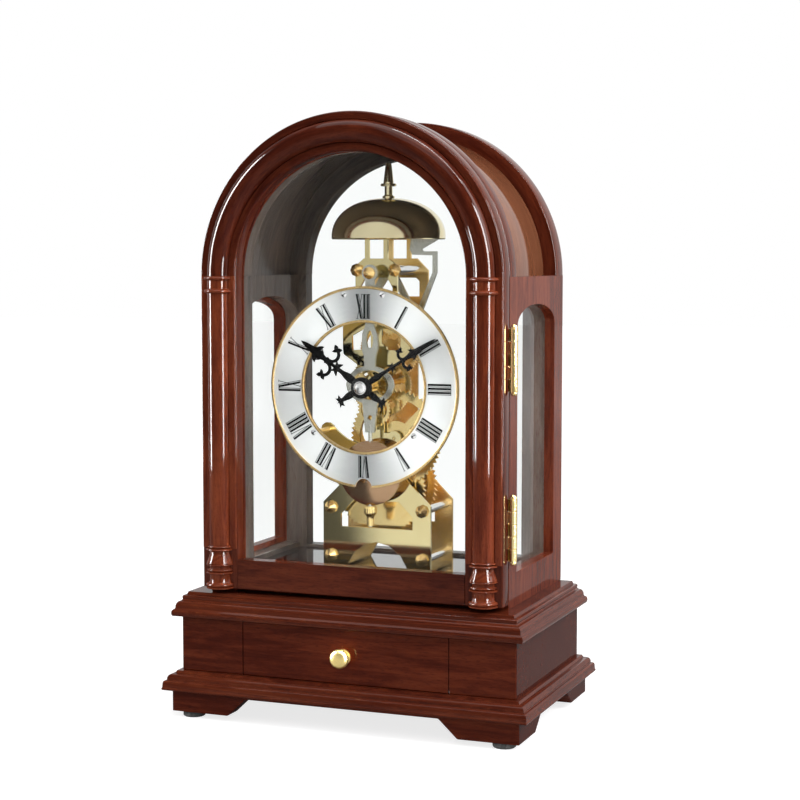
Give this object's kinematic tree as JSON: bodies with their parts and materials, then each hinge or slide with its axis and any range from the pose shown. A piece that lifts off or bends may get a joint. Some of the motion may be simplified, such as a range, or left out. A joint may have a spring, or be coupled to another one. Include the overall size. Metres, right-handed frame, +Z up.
{
  "type": "desk clock",
  "caption": "Arch-topped mahogany desk clock with a silvered skeleton dial, visible brass pendulum movement and bell, glazed hinged door, glass sides and a drawer in the base",
  "frame": {"origin": "on the table, under the middle of the base", "axes": "+X to the right seen from the front, +Y to the back, +Z up"},
  "size_m": [0.23, 0.145, 0.36],
  "materials": {
    "mahogany": "gloss lacquer over red-brown mahogany",
    "dark_wood": "stained wood, satin",
    "pad_rubber": "matt",
    "polished_brass": "polished and lacquered",
    "warm_brass": "polished, warmer",
    "steel": "fine brushed",
    "dial_silver": "brushed silver dial with printed black numerals",
    "hand_black": "black lacquer",
    "clear_glass": "clear",
    "floor_black": "black mirror gloss"
  },
  "bodies": {
    "case": {"foot_pad_front_left": "pad_rubber", "foot_pad_front_right": "pad_rubber", "foot_pad_rear_left": "pad_rubber", "foot_pad_rear_right": "pad_rubber", "bracket_foot_frame": "mahogany", "base_board": "mahogany", "base_carcase": "mahogany", "deck_board": "mahogany", "left_side_panel": "mahogany", "right_side_panel": "mahogany", "left_side_glass": "clear_glass", "right_side_glass": "clear_glass", "front_arch_frame": "mahogany", "rear_arch_frame": "mahogany", "rear_glass": "clear_glass", "vault_panel": "dark_wood", "floor_plate": "floor_black", "lower_hinge_case_leaf": "polished_brass", "upper_hinge_case_leaf": "polished_brass", "front_plate": "polished_brass", "back_plate": "warm_brass", "lower_left_pillar": "warm_brass", "lower_right_pillar": "warm_brass", "middle_left_pillar": "warm_brass", "middle_right_pillar": "warm_brass", "upper_left_pillar": "warm_brass", "upper_right_pillar": "warm_brass", "dial_ring": "dial_silver", "bell_bracket": "warm_brass", "bell": "polished_brass", "bell_finial": "polished_brass"},
    "door": {"door_frame": "mahogany", "door_glass": "clear_glass", "door_arch_moulding": "mahogany", "door_left_column": "mahogany", "door_right_column": "mahogany", "lower_hinge_door_leaf": "polished_brass", "upper_hinge_door_leaf": "polished_brass"},
    "drawer": {"drawer_front": "mahogany", "drawer_tray": "dark_wood", "drawer_knob": "polished_brass"},
    "minute_hand_arbor": {"centre_wheel": "polished_brass", "minute_hand": "hand_black", "hand_nut": "steel"},
    "hour_hand_pipe": {"hour_wheel": "polished_brass", "hour_hand": "hand_black"},
    "motion_wheel": {"minute_wheel": "polished_brass"},
    "intermediate_arbor": {"second_wheel": "polished_brass"},
    "going_barrel": {"barrel": "polished_brass"},
    "third_arbor": {"third_wheel": "polished_brass"},
    "escape_arbor": {"escape_wheel": "polished_brass"},
    "pendulum": {"anchor": "steel", "pendulum_rod": "steel", "pendulum_bob": "polished_brass"},
    "bob_nut": {"rating_nut": "polished_brass"},
    "hammer_arm": {"hammer": "steel"},
    "winding_arbor": {"barrel_arbor": "steel"},
    "striking_barrel": {"strike_barrel": "warm_brass"},
    "pin_arbor": {"pin_wheel": "warm_brass"}
  },
  "joints": [
    {"name": "door_hinge", "type": "hinge", "parent": "case", "child": "door", "pos_m": [0.0976, -0.04445, 0.17], "axis": [0, 0, 1], "range_deg": [0, 110]},
    {"name": "drawer_slide", "type": "slide", "parent": "case", "child": "drawer", "axis": [0, -1, 0], "range_m": [0, 0.07]},
    {"name": "third_turn", "type": "hinge", "parent": "case", "child": "third_arbor", "pos_m": [0.00265, 0, 0.21989], "axis": [0, -1, 0], "continuous": true},
    {"name": "minute_turn", "type": "hinge", "parent": "case", "child": "minute_hand_arbor", "pos_m": [0, 0, 0.199], "axis": [0, 1, 0], "continuous": true},
    {"name": "hour_turn", "type": "hinge", "parent": "case", "child": "hour_hand_pipe", "pos_m": [0, 0, 0.199], "axis": [0, 1, 0], "continuous": true},
    {"name": "motion_turn", "type": "hinge", "parent": "case", "child": "motion_wheel", "pos_m": [0, 0, 0.1852], "axis": [0, 1, 0], "continuous": true},
    {"name": "intermediate_turn", "type": "hinge", "parent": "case", "child": "intermediate_arbor", "pos_m": [0.01136, 0, 0.16738], "axis": [0, 1, 0], "continuous": true},
    {"name": "barrel_turn", "type": "hinge", "parent": "case", "child": "going_barrel", "pos_m": [0, 0, 0.1365], "axis": [0, 1, 0], "continuous": true},
    {"name": "escape_turn", "type": "hinge", "parent": "case", "child": "escape_arbor", "pos_m": [0, 0, 0.24], "axis": [0, 1, 0], "continuous": true},
    {"name": "pendulum_swing", "type": "hinge", "parent": "case", "child": "pendulum", "pos_m": [0, 0, 0.2668], "axis": [0, 1, 0], "range_deg": [-3, 3]},
    {"name": "bob_nut_turn", "type": "hinge", "parent": "pendulum", "child": "bob_nut", "pos_m": [0, -0.0205, 0.122], "axis": [0, 0, 1], "continuous": true},
    {"name": "hammer_lift", "type": "hinge", "parent": "case", "child": "hammer_arm", "pos_m": [0.0175, 0, 0.2395], "axis": [0, 1, 0], "range_deg": [-6, 0]},
    {"name": "winding_turn", "type": "hinge", "parent": "case", "child": "winding_arbor", "pos_m": [0, 0, 0.1365], "axis": [0, 1, 0], "continuous": true},
    {"name": "striking_turn", "type": "hinge", "parent": "case", "child": "striking_barrel", "pos_m": [0, 0, 0.1365], "axis": [0, 1, 0], "continuous": true},
    {"name": "pin_turn", "type": "hinge", "parent": "case", "child": "pin_arbor", "pos_m": [-0.007, 0, 0.16936], "axis": [0, 1, 0], "continuous": true}
  ],
  "couplings": [
    {"joint": "minute_turn", "follows": "third_turn", "ratio": 0.083333},
    {"joint": "intermediate_turn", "follows": "third_turn", "ratio": -0.013889},
    {"joint": "barrel_turn", "follows": "third_turn", "ratio": 0.0023148},
    {"joint": "escape_turn", "follows": "third_turn", "ratio": 12},
    {"joint": "motion_turn", "follows": "third_turn", "ratio": -0.027778},
    {"joint": "hour_turn", "follows": "third_turn", "ratio": 0.0069444},
    {"joint": "pin_turn", "follows": "striking_turn", "ratio": -6}
  ]
}
